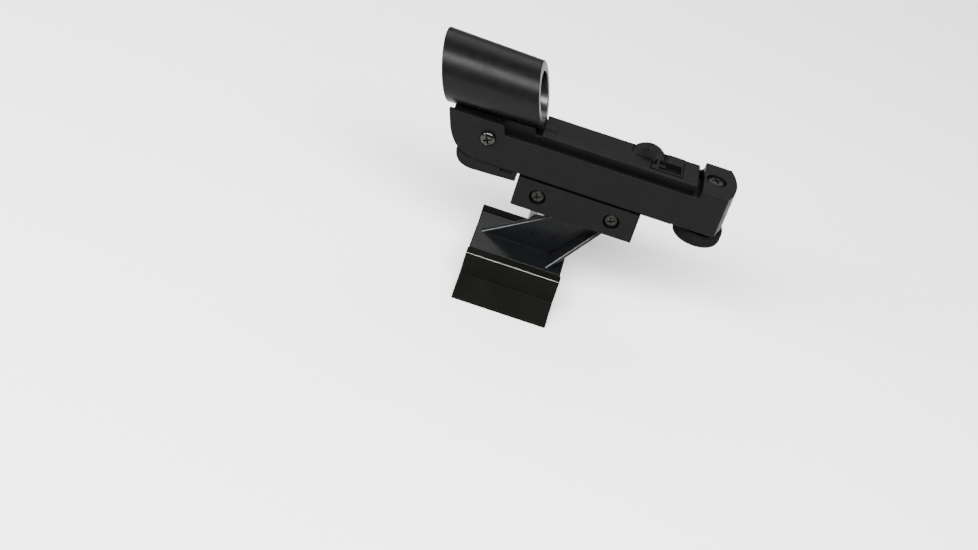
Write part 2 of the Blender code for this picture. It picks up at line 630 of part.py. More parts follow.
def make_tube():
    tube = tube_cone("lens_tube", 0.0, "gloss_black")
    bore = rod("tube_bore", TUBE_BORE, (-0.0700, 0, TUBE_Z), 0.0800, "x", segments=FINE)
    seat = rod("lens_seat", LENS_RADIUS + GAP, (0, 0, 0), 0.0300, "x", segments=FINE)
    lens_place = Matrix.Translation((-0.0370, 0, TUBE_Z)) @ Matrix.Rotation(LENS_TILT, 4, "Y")
    turn = AXES["x"]
    seat.matrix_world = lens_place @ Matrix.Translation((-0.0300, 0, 0)) @ turn
    front = end_cutter("tube_front_cut", TUBE_FRONT_TOP, TUBE_FRONT_SLOPE, True)
    rear = end_cutter("tube_rear_cut", TUBE_REAR_TOP, TUBE_REAR_SLOPE, False)
    tap = rod("tube_screw_tap", 0.0013, (-0.0130, 0, 0.0600), 0.0112, "z")
    cut(tube, bore, seat, front, rear, tap)
    # The lens is a thin meniscus, hollow towards the eye, held by a ring in front of it.
    lens = turned("reflector_lens", [(0, 0.0012), (0.0050, 0.0013), (0.0100, 0.0017), (0.0100, -0.0005),
                                     (0.0050, -0.0011), (0, -0.0013)], "x", (0, 0, 0), "glass")
    lens.matrix_world = lens_place @ Matrix.Translation((-0.0020, 0, 0)) @ turn
    ring = turned("lens_ring", [(0.0086, 0.0008), (LENS_RADIUS - 0.0001, 0.0008),
                                (LENS_RADIUS - 0.0001, -0.0008), (0.0086, -0.0008), (0.0086, 0.0008)],
                  "x", (0, 0, 0), "matte_black")
    ring.matrix_world = lens_place @ Matrix.Translation((-0.0046, 0, 0)) @ turn
    phillips("tube_screw", (-0.0130, 0, 0.0592), "z", -1, 0.0026, 0.0018, 0.0011, 0.0098, "dark_steel")


def make_led_group():
    """An open housing let into the arm's top: the diode lies in its pit and shines forwards through a pinhole."""
    front, rear = LED_BLOCK
    block = box("led_housing", (front, -0.0063, 0.06625), (rear, 0.00175, 0.06885), "matte_black")
    body = box("led_body", (front + 0.00255, -0.0060, 0.06455), (rear - 0.0003, 0.0015, 0.06765))
    wing = box("led_wing", (WING_FRONT, 0.0010, 0.06725), (rear, 0.0082, 0.06885))
    join(block, body, wing)
    pit = box("led_pit", (front + 0.00295, -0.0056, 0.06555), (rear - 0.0007, 0.00135, 0.0700))
    slit = box("led_slit", (front + 0.0004, -0.0030, 0.06655), (front + 0.0019, 0.00135, 0.0700))
    window = box("led_window", (front - 0.0010, -0.0040, 0.06725), (front + 0.0010, 0.0030, 0.0700))
    hole = rod("led_hole", 0.0012, (front + 0.0010, LED_Y, LED_Z), 0.0030, "x")
    cut(block, pit, slit, window, hole)
    dome = turned("led", [(0, 0.0036), (0.0006, 0.0034), (0.0010, 0.0027), (0.0010, 0.0006), (0.00125, 0.0006),
                          (0.00125, 0), (0, 0)], "x", (0, 0, 0), "led_red", COARSE)
    dome.matrix_world = Matrix.Translation((front + 0.0058, LED_Y, LED_Z)) @ Matrix.Rotation(
        math.radians(-90), 4, "Y")
    mask = box("pinhole_mask", (front + 0.0009, -0.0026, 0.06685), (front + 0.0013, 0.0010, 0.06775), "dark_steel")
    cut(mask, rod("pinhole", 0.0002, (front, LED_Y, 0.06735), 0.0040, "x", segments=12))


def make_brightness():
    wheel = knurled("brightness_wheel", WHEEL_RADIUS, 36, 0.0003, "xz", WHEEL_NEAR, WHEEL_FAR, "matte_black")
    shift(wheel, (WHEEL.x, 0, WHEEL.z))
    cut(wheel, rod("wheel_bore", 0.0015 + GAP, (WHEEL.x, 0.0010, WHEEL.z), 0.0062, "y"))
    rod("wheel_shaft", 0.0015, (WHEEL.x, 0.0012, WHEEL.z), 0.0057, "y", "steel")
    pot = box("potentiometer", (WHEEL.x - 0.0045, -0.0060, 0.0583), (WHEEL.x + 0.0041, 0.0018, 0.0660),
              "dark_steel")
    cut(pot, rod("pot_bore", 0.0015 + GAP, (WHEEL.x, 0.0009, WHEEL.z), 0.0030, "y"))
    box("circuit_board", (0.0180, -0.0062, 0.0568), (0.0540, 0.0015, 0.0579), "board_green")


make_shoe()
make_shoe_screws()
make_clamp()
make_leg()
make_bracket()
make_bracket_screws()
make_base()
make_contacts()
make_battery()
make_altitude_drive()
make_altitude_spring()
make_azimuth_drive()
make_arm()
make_tube()
make_led_group()
make_brightness()
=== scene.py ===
"""The red-dot finder scope's looks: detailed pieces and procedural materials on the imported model.

The shapes below are in millimetres in the model's frame: X to the eye, Y across, Z up. An outline's
corner may have a third number, which is the radius that fillet rounds it by.
"""

import math

import bmesh
import bpy
from mathutils import Matrix, Vector


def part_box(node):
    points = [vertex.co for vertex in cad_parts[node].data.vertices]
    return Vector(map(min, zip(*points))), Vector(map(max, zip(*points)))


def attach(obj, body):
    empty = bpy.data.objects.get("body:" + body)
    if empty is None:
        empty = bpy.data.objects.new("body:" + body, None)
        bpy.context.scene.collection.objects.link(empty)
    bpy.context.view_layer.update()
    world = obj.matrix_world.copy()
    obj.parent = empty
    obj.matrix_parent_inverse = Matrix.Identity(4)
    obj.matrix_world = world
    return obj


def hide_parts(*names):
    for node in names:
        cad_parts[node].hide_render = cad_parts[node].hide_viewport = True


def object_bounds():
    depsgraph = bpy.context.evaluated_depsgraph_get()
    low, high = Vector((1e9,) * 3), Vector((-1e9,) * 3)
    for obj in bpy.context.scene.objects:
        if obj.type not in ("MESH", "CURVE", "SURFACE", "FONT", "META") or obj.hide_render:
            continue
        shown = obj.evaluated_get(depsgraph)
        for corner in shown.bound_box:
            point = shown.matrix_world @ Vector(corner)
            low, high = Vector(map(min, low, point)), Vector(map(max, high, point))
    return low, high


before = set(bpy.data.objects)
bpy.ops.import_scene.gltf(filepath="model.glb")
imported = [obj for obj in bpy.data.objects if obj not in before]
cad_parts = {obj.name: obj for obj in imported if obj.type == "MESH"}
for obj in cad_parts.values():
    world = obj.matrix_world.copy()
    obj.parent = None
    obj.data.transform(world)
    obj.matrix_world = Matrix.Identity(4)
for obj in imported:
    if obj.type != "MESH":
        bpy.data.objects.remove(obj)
CAD_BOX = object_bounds()
MM = 0.001
SCENE = bpy.context.scene


# Modelling ---------------------------------------------------------------------------------------

def node_box(node):
    """A node's lowest and highest corners in millimetres."""
    low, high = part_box(node)
    return Vector(low) / MM, Vector(high) / MM


PLANES = {                         # where an outline's u and v and its normal w go in X, Y, Z
    "xz": lambda u, v, w: (u, w, v),
    "yz": lambda u, v, w: (w, u, v),
    "xy": lambda u, v, w: (u, v, w),
}


def to_object(name, bm):
    """A scene object from a mesh in millimetres."""
    bmesh.ops.remove_doubles(bm, verts=bm.verts, dist=0.0005)
    bmesh.ops.recalc_face_normals(bm, faces=bm.faces)
    bmesh.ops.scale(bm, vec=(MM, MM, MM), verts=bm.verts)
    mesh = bpy.data.meshes.new(name)
    bm.to_mesh(mesh)
    bm.free()
    obj = bpy.data.objects.new(name, mesh)
    SCENE.collection.objects.link(obj)
    return obj


def fillet(points, radius, steps):
    """Rounds an outline's corners; a third number in a point is that corner's own radius."""
    out = []
    count = len(points)
    for i, point in enumerate(points):
        here = Vector(point[:2])
        r = point[2] if len(point) > 2 else radius
        if r <= 0:
            out.append(tuple(here))
            continue
        a = Vector(points[i - 1][:2]) - here
        b = Vector(points[(i + 1) % count][:2]) - here
        reach = min(r / math.tan(a.angle(b) / 2), 0.48 * a.length, 0.48 * b.length)
        start = here + a.normalized() * reach
        end = here + b.normalized() * reach
        for s in range(steps + 1):
            t = s / steps
            out.append(tuple((1 - t) ** 2 * start + 2 * t * (1 - t) * here + t * t * end))
    return out


def bend(start, control, end, count):
    """Points along the curve from start to end that leans towards control, without start."""
    a, b, c = Vector(start), Vector(control), Vector(end)
    steps = [i / count for i in range(1, count + 1)]
    return [tuple((1 - t) ** 2 * a + 2 * t * (1 - t) * b + t * t * c) for t in steps]


SHARP = math.radians(28)


def soften(bm, width, steps):
    """Rounds every edge whose faces turn by more than SHARP."""
    sharp = [e for e in bm.edges if e.is_manifold and e.calc_face_angle() > SHARP]
    bmesh.ops.bevel(bm, geom=sharp, offset=width, offset_type="OFFSET", segments=steps, profile=0.5,
                    affect="EDGES", clamp_overlap=True)


def skin(bm, rings):
    """Faces between neighbouring rings of vertices; a ring may repeat one vertex on an axis."""
    for a, b in zip(rings, rings[1:]):
        count = len(a)
        for i in range(count):
            j = (i + 1) % count
            corners = []
            for v in (a[i], a[j], b[j], b[i]):
                if v not in corners:
                    corners.append(v)
            if len(corners) > 2:
                bm.faces.new(corners)


def prism_mesh(outline, plane, low, high, edge=0.0, steps=3):
    """An outline in a plane, drawn out square to it from low to high, with rounded edges."""
    bm = bmesh.new()
    place = PLANES[plane]
    bottom = [bm.verts.new(place(u, v, low)) for u, v in outline]
    top = [bm.verts.new(place(u, v, high)) for u, v in outline]
    bm.faces.new(bottom)
    bm.faces.new(top)
    skin(bm, [bottom, top])
    bmesh.ops.recalc_face_normals(bm, faces=bm.faces)
    if edge:
        soften(bm, edge, steps)
    return bm


def prism(name, outline, plane, low, high, edge=0.0, steps=3):
    """The object of a prism_mesh."""
    return to_object(name, prism_mesh(outline, plane, low, high, edge, steps))


def block(name, low, high, edge=0.0):
    """A box between two corners, with rounded edges."""
    outline = [(low[0], low[1]), (high[0], low[1]), (high[0], high[1]), (low[0], high[1])]
    return prism(name, outline, "xy", low[2], high[2], edge)


TURN = {                           # turns Z to an axis
    "x": Matrix.Rotation(math.radians(90), 4, "Y"),
    "y": Matrix.Rotation(math.radians(-90), 4, "X"),
    "-y": Matrix.Rotation(math.radians(90), 4, "X"),
    "z": Matrix.Identity(4),
}


def lathe_mesh(profile, axis, place, segments):
    """(radius, height) points turned about an axis through place; a hoop repeats its first."""
    bm = bmesh.new()
    rings = []
    for r, h in profile:
        if r < 1e-6:
            rings.append([bm.verts.new((0, 0, h))] * segments)
            continue
        angles = [2 * math.pi * i / segments for i in range(segments)]
        rings.append([bm.verts.new((r * math.cos(a), r * math.sin(a), h)) for a in angles])
    skin(bm, rings)
    bmesh.ops.remove_doubles(bm, verts=bm.verts, dist=0.0005)
    bm.transform(Matrix.Translation(place) @ TURN[axis])
    return bm


def lathe(name, profile, axis, place, segments):
    """The object of a lathe_mesh."""
    return to_object(name, lathe_mesh(profile, axis, place, segments))


def rod(name, radius, place, length, axis, edge=0.0, segments=64):
    """A round bar from place, running length along the axis, with its ends' edges rounded."""
    profile = fillet([(0, length, 0), (radius, length, edge), (radius, 0, edge), (0, 0, 0)], 0, 4)
    return lathe(name, profile, axis, place, segments)


def solve(target, operation, tools):
    """Applies Booleans with the tools to the target, and deletes the tools."""
    for tool in tools:
        boolean = target.modifiers.new("solve", "BOOLEAN")
        boolean.operation = operation
        boolean.object = tool
        boolean.solver = "EXACT"
    graph = bpy.context.evaluated_depsgraph_get()
    mesh = bpy.data.meshes.new_from_object(target.evaluated_get(graph))
    target.modifiers.clear()
    old = target.data
    target.data = mesh
    bpy.data.meshes.remove(old)
    for tool in tools:
        bpy.data.objects.remove(tool, do_unlink=True)


def carve(target, *tools):
    solve(target, "DIFFERENCE", tools)


def merge(target, *tools):
    solve(target, "UNION", tools)


def dress(obj, body, looks, slot, *nodes, angle=32, weighted=True):
    """Gives a finished piece its shading, materials, body and the nodes it stands for."""
    obj.data.materials.clear()
    for look in [looks] if isinstance(looks, str) else looks:
        obj.data.materials.append(LOOKS[look])
    obj.data.shade_smooth()
    obj.data.set_sharp_from_angle(angle=math.radians(angle))
    if weighted:
        normals = obj.modifiers.new("normals", "WEIGHTED_NORMAL")
        normals.keep_sharp = True
    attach(obj, body)
    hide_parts(*nodes)
    return obj


# Materials ---------------------------------------------------------------------------------------

class Graph:
    """A material's nodes, added and linked in one call each."""

    def __init__(self, name):
        self.material = bpy.data.materials.new(name)
        self.material.use_nodes = True
        self.tree = self.material.node_tree
        self.shader = self.tree.nodes["Principled BSDF"]
        coordinates = self.tree.nodes.new("ShaderNodeTexCoord")
        self.where = coordinates.outputs["Object"]

    def set(self, **values):
        """Sets the shader's inputs, whose names are written with underscores."""
        for key, value in values.items():
            self.shader.inputs[key.replace("_", " ")].default_value = value

    def link(self, output, socket):
        """Feeds an output to one of the shader's inputs."""
        self.tree.links.new(output, self.shader.inputs[socket])

    def add(self, kind, **values):
        """A new node with its inputs or settings."""
        node = self.tree.nodes.new(kind)
        for key, value in values.items():
            if key in node.inputs:
                node.inputs[key].default_value = value
            else:
                setattr(node, key, value)
        return node

    def noise(self, size, detail, roughness=0.5, source=None):
        """Soft noise whose features are about size millimetres across."""
        node = self.add("ShaderNodeTexNoise", Scale=1 / (size * MM), Detail=detail,
                        Roughness=roughness)
        self.tree.links.new(source or self.where, node.inputs["Vector"])
        return node.outputs["Fac"]

    def stretched(self, x, y, z):
        """Coordinates scaled along each axis, for grain and brushing."""
        node = self.add("ShaderNodeMapping", Scale=(x, y, z))
        self.tree.links.new(self.where, node.inputs["Vector"])
        return node.outputs["Vector"]

    def spread(self, source, low, high, start, end):
        """Maps source from start..end to low..high."""
        node = self.tree.nodes.new("ShaderNodeMapRange")
        for socket, value in (("From Min", start), ("From Max", end),
                              ("To Min", low), ("To Max", high)):
            node.inputs[socket].default_value = value
        self.tree.links.new(source, node.inputs["Value"])
        return node.outputs["Result"]

    def mix(self, factor, first, second):
        """Blends two colours or outputs by a factor output."""
        node = self.add("ShaderNodeMix", data_type="RGBA")
        self.tree.links.new(factor, node.inputs["Factor"])
        for socket, value in ((node.inputs[6], first), (node.inputs[7], second)):
            if isinstance(value, tuple):
                socket.default_value = (*value, 1)
            else:
                self.tree.links.new(value, socket)
        return node.outputs[2]

    def math(self, operation, first, second):
        """Arithmetic on two outputs or numbers."""
        node = self.add("ShaderNodeMath", operation=operation)
        for socket, value in ((node.inputs[0], first), (node.inputs[1], second)):
            if isinstance(value, (int, float)):
                socket.default_value = value
            else:
                self.tree.links.new(value, socket)
        return node.outputs[0]

    def bump(self, height, depth, below=None):
        """A bump of depth millimetres, over an earlier normal if there is one."""
        node = self.add("ShaderNodeBump", Strength=1.0, Distance=depth * MM)
        self.tree.links.new(height, node.inputs["Height"])
        if below:
            self.tree.links.new(below, node.inputs["Normal"])
        return node.outputs["Normal"]

    def rounded(self, radius):
        """Normals that round a cut edge over radius millimetres."""
        return self.add("ShaderNodeBevel", samples=4, Radius=radius * MM).outputs["Normal"]

    def edges(self, rounded):
        """0 on flat faces and 1 on edges, for rubbed edges."""
        geometry = self.tree.nodes.new("ShaderNodeNewGeometry")
        dot = self.add("ShaderNodeVectorMath", operation="DOT_PRODUCT")
        self.tree.links.new(rounded, dot.inputs[0])
        self.tree.links.new(geometry.outputs["True Normal"], dot.inputs[1])
        return self.spread(dot.outputs["Value"], 1.0, 0.0, 0.90, 0.995)


def scaled(colour, factor, offset=0.0):
    return tuple(factor * c + offset for c in colour)


def moulded(name, colour, roughness, grain, depth, specular, rub=1.7):
    """Moulded plastic or paint: mottled colour, grained surface and rubbed edges.

    The grain's size and depth are in millimetres, and rub is how much lighter a worn edge is.
    """
    g = Graph(name)
    g.set(Specular_IOR_Level=specular)
    soft = g.rounded(0.25)
    edge = g.math("MULTIPLY", g.edges(soft), g.spread(g.noise(2.5, 3), 0.35, 1.0, 0.35, 0.65))
    mottled = g.mix(g.spread(g.noise(9.0, 4), 0.0, 1.0, 0.3, 0.7), colour, scaled(colour, 1.25))
    g.link(g.mix(edge, mottled, scaled(colour, rub, 0.004)), "Base Color")
    uneven = g.spread(g.noise(4.0, 5, 0.6), roughness - 0.06, roughness + 0.07, 0.3, 0.7)
    g.link(g.math("SUBTRACT", uneven, g.math("MULTIPLY", edge, 0.10)), "Roughness")
    g.link(g.bump(g.noise(grain, 3, 0.6), depth, soft), "Normal")
    return g.material


def metal(name, colour, roughness, stretch=(1, 1, 1), tarnish=0.6):
    """Plated or turned metal: brushed grain, uneven polish and faint tarnish."""
    g = Graph(name)
    g.set(Metallic=1.0)
    stain = g.spread(g.noise(1.6, 5, 0.65), 0.0, 1.0, 0.42, 0.75)
    g.link(g.mix(stain, colour, scaled(colour, tarnish)), "Base Color")
    g.link(g.spread(g.noise(1.0, 4), roughness - 0.06, roughness + 0.10, 0.3, 0.7), "Roughness")
    soft = g.rounded(0.12)
    lines = g.noise(0.15, 2, 0.5, g.stretched(*stretch))
    g.link(g.bump(lines, 0.004, soft), "Normal")
    return g.material


def coated_glass(name):
    """Clear glass with a warm, uneven coat and a little dust."""
    g = Graph(name)
    g.set(Transmission_Weight=0.92, IOR=1.45, Coat_Weight=0.6)
    coat = g.spread(g.noise(6.0, 3), 0, 1, 0.3, 0.7)
    g.link(g.mix(coat, (0.86, 0.60, 0.58), (0.78, 0.66, 0.70)), "Base Color")
    g.link(g.spread(g.noise(0.5, 4, 0.7), 0.02, 0.16, 0.55, 0.85), "Roughness")
    return g.material


def resin(name, colour):
    """Dark cast resin with a slightly uneven colour and polish."""
    g = Graph(name)
    g.set(Specular_IOR_Level=0.05)
    g.link(g.mix(g.noise(0.8, 3), colour, scaled(colour, 0.5)), "Base Color")
    g.link(g.spread(g.noise(0.3, 3), 0.48, 0.58, 0.3, 0.7), "Roughness")
    return g.material


def circuit(name):
    """Green lacquer over copper tracks."""
    g = Graph(name)
    tracks = g.add("ShaderNodeTexBrick", Scale=260.0, offset=0.5)
    tracks.inputs["Mortar Size"].default_value = 0.05
    tracks.inputs["Mortar"].default_value = (1, 1, 1, 1)
    tracks.inputs["Color1"].default_value = (0, 0, 0, 1)
    tracks.inputs["Color2"].default_value = (0, 0, 0, 1)
    g.tree.links.new(g.where, tracks.inputs["Vector"])
    g.link(g.mix(tracks.outputs["Color"], (0.012, 0.085, 0.035), (0.05, 0.19, 0.06)), "Base Color")
    g.link(g.spread(g.noise(0.7, 3), 0.25, 0.45, 0.3, 0.7), "Roughness")
    g.link(g.bump(tracks.outputs["Color"], 0.03), "Normal")
    return g.material


BLACK = (0.0020, 0.0021, 0.0021)
TUBE_BLACK = (0.0018, 0.0018, 0.0020)
LOOKS = {
    "housing": moulded("housing_plastic", BLACK, 0.46, 0.16, 0.008, 0.052),
    "tube": moulded("tube_plastic", TUBE_BLACK, 0.35, 0.35, 0.004, 0.078),
    "leg": moulded("leg_plastic", (0.0026, 0.0028, 0.0031), 0.30, 0.8, 0.0003, 0.10, rub=0.6),
    # the leg's edge roundings: glossier, and lighter in colour as a painted highlight
    "leg_painted_highlight": moulded("leg_painted_highlight_plastic", (0.028, 0.029, 0.031), 0.25, 1.4, 0.001, 0.4, rub=1.1),
    "shoe": moulded("shoe_paint", (0.0030, 0.0033, 0.0026), 0.50, 0.42, 0.025, 0.010, rub=2.0),
    "bore": moulded("bore_plastic", TUBE_BLACK, 0.30, 0.35, 0.004, 0.42),
    "knob": moulded("knob_plastic", BLACK, 0.44, 0.20, 0.008, 0.014),
    # a light metal finish on the shoe rails' outer top edges
    "rail_metal": metal("rail_edge_metal", (0.27, 0.26, 0.245), 0.40, tarnish=0.40),
    "steel": metal("plated_steel", (0.40, 0.40, 0.38), 0.28),
    "nickel": metal("dull_nickel", (0.15, 0.15, 0.145), 0.30, stretch=(1, 1, 6)),
    "chrome": metal("bright_steel", (0.62, 0.62, 0.60), 0.22, stretch=(1, 1, 6)),
    "zinc": metal("dull_zinc", (0.022, 0.022, 0.020), 0.42, tarnish=0.4),
    "oxide": metal("blackened_steel", (0.016, 0.016, 0.016), 0.34),
    "glint": metal("dark_polished_steel", (0.030, 0.029, 0.028), 0.16, tarnish=0.5),
    "brass": metal("turned_brass", (0.66, 0.47, 0.20), 0.27),
    "glass": coated_glass("coated_glass"),
    "led": resin("smoked_resin", (0.0026, 0.0023, 0.0023)),
    "board": circuit("circuit_board_green"),
}


# Lens tube ---------------------------------------------------------------------------------------

TUBE_Z = 81.2                      # its axis
TUBE_CROWN = 95.9                  # its highest line
MOUTH_RADIUS = 14.7                # outside, at x = -55
TUBE_TAPER = 0.0267
TUBE_FRONT = (-55.2, 0.314)        # where each end's slanted plane meets the crown, and its slope
TUBE_REAR = (-14.7, 0.334)
TUBE_ROUNDS = 160
EYE_BORE = 9.6                     # the bore's radii
LENS_BORE = 10.75
MOUTH_BORE = 11.5
LENS_STEP_X = -36.8                # the bore is wider in front of this step


def tube_radius(x):
    """The tube tapers from its mouth to its eye end."""
    return MOUTH_RADIUS - TUBE_TAPER * (x + 55)


def slant(end, radius, angle):
    """Where the slanted end cuts a line along the tube at that radius and angle from the crown."""
    height = TUBE_Z + radius * math.cos(angle)
    return end[0] + end[1] * (TUBE_CROWN - height)


def tube_section(angle):
    """The wall's section at one angle, as (x, radius) points round a closed loop."""
    def at(end, radius):
        return (slant(end, radius, angle), radius)
    front = tube_radius(slant(TUBE_FRONT, 14.6, angle))
    rear = tube_radius(slant(TUBE_REAR, 13.5, angle))
    corners = [(*at(TUBE_FRONT, front), 0.45), (*at(TUBE_REAR, rear), 0.55),
               (*at(TUBE_REAR, EYE_BORE), 0.45), (LENS_STEP_X, EYE_BORE, 0.15),
               (LENS_STEP_X, LENS_BORE, 0.1), (*at(TUBE_FRONT, MOUTH_BORE), 0.5)]
    return fillet(corners, 0, 6)


def make_tube():
    """The lens tube, cut on the slant at both ends."""
    bm = bmesh.new()
    sections = []
    for i in range(TUBE_ROUNDS):
        angle = 2 * math.pi * i / TUBE_ROUNDS
        sections.append([bm.verts.new((x, -r * math.sin(angle), TUBE_Z + r * math.cos(angle)))
                         for x, r in tube_section(angle)])
    skin(bm, sections + sections[:1])
    tube = to_object("lens_tube_shell", bm)
    dress(tube, "arm", ["tube", "bore"], "gloss_black", "lens_tube", angle=60)
    for polygon in tube.data.polygons:
        polygon.material_index = int(is_bore(polygon))


def is_bore(polygon):
    """The tube's inner wall, which is glossier than its outside."""
    out = Vector((0, polygon.center.y, polygon.center.z - TUBE_Z * MM))
    return polygon.normal.dot(out) < 0 and abs(polygon.normal.x) < 0.5


LENS_TILT = Matrix.Rotation(math.radians(4.5), 4, "Y")


def tilted(name, profile, x):
    """A turned piece on the tube's axis at x, tilted as the lens is."""
    bm = lathe_mesh(profile, "x", (0, 0, 0), 96)
    bm.transform(Matrix.Translation((x, 0, TUBE_Z)) @ LENS_TILT)
    return to_object(name, bm)


def make_lens():
    dish = [(0, 1.2), (2.5, 1.23), (5.0, 1.31), (7.5, 1.45), (9.7, 1.62), (10.0, 1.4),
            (10.0, -0.3), (9.8, -0.5), (7.5, -0.85), (5.0, -1.10), (2.5, -1.25), (0, -1.3)]
    window = tilted("reflector_window", dish, -39.0)
    dress(window, "arm", "glass", "glass", "reflector_lens")
    hoop = fillet([(8.6, 0.8), (10.3, 0.8), (10.3, -0.8), (8.9, -0.8)], 0.2, 3)
    ring = tilted("window_ring", hoop + hoop[:1], -41.6)
    dress(ring, "arm", "housing", "matte_black", "lens_ring")


# Base --------------------------------------------------------------------------------------------

BASE_Y = 12.25                     # half the base's width, outside and inside
INNER_Y = 10.45
BASE_LOW = 49.5
BASE_FLOOR = 51.2
RIM_Z = 64.7
HIGH_Z = 68.7                      # the top of the cheeks and of the rear block
OVER = 72.0                        # clear of the top, for cuts
PIVOT = (-26.25, 61.1)             # x and z of the azimuth knob's axis
ALTITUDE_X = 68.45
BLOCK_X = 63.15                    # the rear block's front face
CURVE_X = BLOCK_X + 3.4            # where the rear end starts to curve in plan
REAR_X = 77.4
NOSE = ((-42.7, 61.2), (-38.6, BASE_LOW), (-28.5, BASE_LOW))


def round_the_rear(bm):
    """Curves the base's rear end in plan, from its straight sides to the middle."""
    for step in range(-11, 12):
        bmesh.ops.bisect_plane(bm, geom=bm.verts[:] + bm.edges[:] + bm.faces[:],
                               plane_co=(0, step * BASE_Y / 12, 0), plane_no=(0, 1, 0))
    for vert in bm.verts:
        if vert.co.x > CURVE_X:
            across = abs(vert.co.y) / BASE_Y
            reach = (vert.co.x - CURVE_X) / (REAR_X - CURVE_X)
            vert.co.x -= 2.95 * across ** 2 * reach


def make_base():
    """The channel that holds the arm between its cheeks, with a block at the rear."""
    outline = [(-44.95, HIGH_Z, 0.5), (*NOSE[0], 0)] + [(*p, 0) for p in bend(*NOSE, 20)]
    outline += [(REAR_X, BASE_LOW, 1.9), (REAR_X, HIGH_Z, 0.35), (BLOCK_X, HIGH_Z, 0.35),
                (BLOCK_X, RIM_Z, 2.3), (-20.05, RIM_Z, 0.5), (-21.25, HIGH_Z, 0.4)]
    bm = prism_mesh(fillet(outline, 0, 6), "xz", -BASE_Y, BASE_Y, 0.32)
    round_the_rear(bm)
    base = to_object("base_shell", bm)
    inner = [(-43.3, OVER), (-40.9, 61.2)]
    inner += bend((-40.9, 61.2), (-37.0, BASE_FLOOR), (-28.5, BASE_FLOOR), 16)
    inner += [(BLOCK_X, BASE_FLOOR), (BLOCK_X, OVER)]
    cavity = prism("cavity", inner, "xz", -INNER_Y, INNER_Y)
    pocket = block("pocket", (BLOCK_X - 1, -10.2, BASE_FLOOR), (73.0, 10.2, 65.4))
    notch = block("notch", (-50, -INNER_Y, 64.0), (-40, INNER_Y, OVER))
    carve(base, cavity, pocket, notch)
    dovetail = [(-3.6, 49.8), (-6.0, 45.4), (6.0, 45.4), (3.6, 49.8)]
    merge(base, prism("track", dovetail, "yz", -8.6, 57.0, 0.15))
    tools = [rod("cut", 2.4, (ALTITUDE_X, 0, 48), 6, "z"),
             rod("cut", 1.6, (ALTITUDE_X, 0, 64), 5, "z"),
             rod("cut", 4.35, (ALTITUDE_X, 0, 67.2), 3, "z"),
             rod("cut", 1.6, (PIVOT[0], -14, PIVOT[1]), 6, "y"),
             rod("cut", 2.4, (PIVOT[0], 9, PIVOT[1]), 5, "y")]
    for low, high in (((-26.2, -3.5), (-19.0, 3.5)), ((-31.0, 5.5), (-24.0, 9.0))):
        tools.append(block("cut", (*low, 49.0), (*high, 50.5)))
    carve(base, *tools)
    dress(base, "base", "housing", "matte_black", "base_channel")


def make_cover():
    """The battery drawer that forms the nose under the base."""
    start = (-37.6, 52.4)
    top = bend(start, (-34.5, 49.2), (-28.5, 49.2), 12)
    outline = [(-10.55, 49.2, 0.25)] + [(*p, 0) for p in top[::-1]] + [(*start, 0.3)]
    nose = bend(start, (-37.2, 44.6), (-29.0, 44.6), 18)
    outline += [(*p, 0) for p in nose] + [(-21.05, 44.9, 0), (-10.55, 45.4, 0.3)]
    cover = prism("battery_drawer", fillet(outline, 0, 4), "xz", -BASE_Y, BASE_Y, 0.3)
    tray = rod("cut", 10.4, (-22.6, 0, 45.8), 6, "z", 0.0, 128)
    slot = block("cut", (-18.0, -14.0, 47.9), (-12.5, -11.2, 50.0), 0.15)
    carve(cover, tray, slot)
    dress(cover, "battery_cover", "housing", "matte_black", "battery_cover")


# Arm ---------------------------------------------------------------------------------------------

RAIL_Z = 68.35                     # the rail's top and half its width
RAIL_Y = 8.85
ARM_LOW = 55.2
WHEEL = (38.8, 63.85)              # x and z of the brightness wheel's axis
LED = (-0.6, 67.05)                # y and z of the lamp's axis
CRADLE_FRONT = 40.8
WING_X = 46.8


def make_arm():
    """The rail with its saddle for the tube, and the seats for what it carries."""
    half = [(RAIL_Y, RAIL_Z, 0.35), (8.1, 61.5, 1.0), (8.1, ARM_LOW, 0.35)]
    section = half + [(-y, z, r) for y, z, r in reversed(half)]
    rail = prism("arm_shell", fillet(section, 0, 4), "yz", -5.5, 60.85, 0.3)
    neck_side = [(-43.2, 71.2, 0), (-43.2, 65.6, 0.5), (-39.8, 65.3, 1.0), (-36.4, 59.0, 1.0),
                 (-32.0, ARM_LOW, 0.6), (0, ARM_LOW, 0), (0, 66.8, 0), (-8.0, 66.8, 0.6),
                 (-9.5, 71.2, 0)]
    neck = prism("neck", fillet(neck_side, 0, 5), "xz", -7.5, 7.5, 0.3)
    tongue = block("tongue", (56, -8.2, ARM_LOW), (64, 8.2, 62.6), 0.25)
    near = block("near_prong", (63, -8.4, ARM_LOW), (72, -5.0, 62.6), 0.25)
    far = block("far_prong", (63, 5.0, ARM_LOW), (72, 8.4, 62.6), 0.25)
    merge(rail, neck, tongue, near, far)
    taper = [(0, 60), (tube_radius(0) + 0.3, 60), (tube_radius(-60) + 0.3, 0), (0, 0)]
    ramp = [(32.5, RAIL_Z + 0.05), (CRADLE_FRONT, 67.35), (CRADLE_FRONT, 70), (32.5, 70)]
    tools = [block("cut", (1.0, -7.0, 53.0), (56.0, 7.0, 66.5)),
             lathe("cut", taper, "x", (-60, 0, TUBE_Z), 160),
             rod("cut", 5.0, (PIVOT[0], -10, PIVOT[1]), 20, "y"),
             rod("cut", 2.0, (ALTITUDE_X, -10, 59.1), 20, "y"),
             rod("cut", 8.45, (WHEEL[0], 2.1, WHEEL[1]), 6.2, "y", 0.0, 128),
             prism("cut", ramp, "xz", -6.3, 2.3),
             block("cut", (40.5, -6.6, 63.0), (54.3, 2.3, 70)),
             block("cut", (WING_X - 0.3, 1.0, 66.95), (54.3, 8.5, 70)),
             rod("cut", 3.0, (-13.0, 0, 50), 9.5, "z"),
             rod("cut", 1.6, (-13.0, 0, 50), 30, "z")]
    carve(rail, *tools)
    dress(rail, "arm", "housing", "matte_black", "arm")


